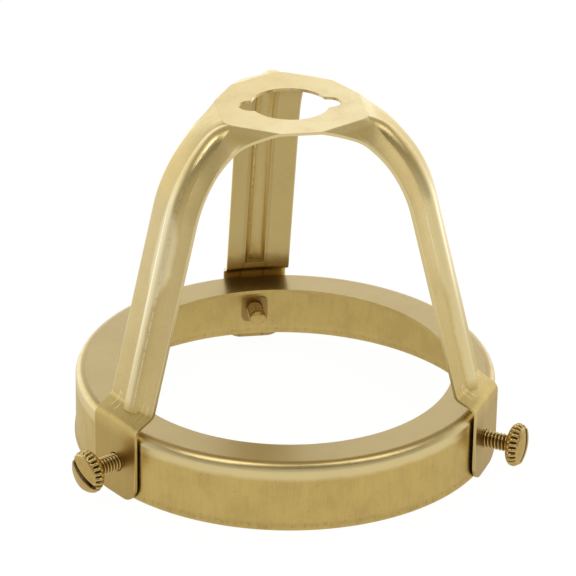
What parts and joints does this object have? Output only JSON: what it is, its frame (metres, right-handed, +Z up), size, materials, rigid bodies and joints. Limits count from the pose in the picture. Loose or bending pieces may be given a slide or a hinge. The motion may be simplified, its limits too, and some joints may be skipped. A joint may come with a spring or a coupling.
{
  "type": "lamp shade holder",
  "caption": "Pressed ribbed spider staked over a flanged fitter ring, with radial thumb screws that clamp the neck of a glass shade.",
  "frame": {"origin": "centre of the top hole, on the upper face of the spider's disc", "axes": "+Z up along the hole's axis, away from the shade; +Y along one arm; the hole's notches lie along X"},
  "size_m": [0.094, 0.0972, 0.0748],
  "materials": {
    "spider_brass": "satin, lacquered",
    "ring_brass": "satin, lacquered",
    "screw_brass": "turned and polished"
  },
  "bodies": {
    "holder": {"spider": "spider_brass", "fitter_ring": "ring_brass"},
    "screw_back": {"thumb_screw_back": "screw_brass"},
    "screw_left": {"thumb_screw_left": "screw_brass"},
    "screw_right": {"thumb_screw_right": "screw_brass"}
  },
  "joints": [
    {"name": "screw_back_travel", "type": "slide", "parent": "holder", "child": "screw_back", "axis": [0, 1, 0], "range_m": [-0.0049, 0.0043]},
    {"name": "screw_left_travel", "type": "slide", "parent": "holder", "child": "screw_left", "axis": [-0.866, -0.5, 0], "range_m": [-0.0049, 0.0043]},
    {"name": "screw_right_travel", "type": "slide", "parent": "holder", "child": "screw_right", "axis": [0.866, -0.5, 0], "range_m": [-0.0049, 0.0043]}
  ]
}
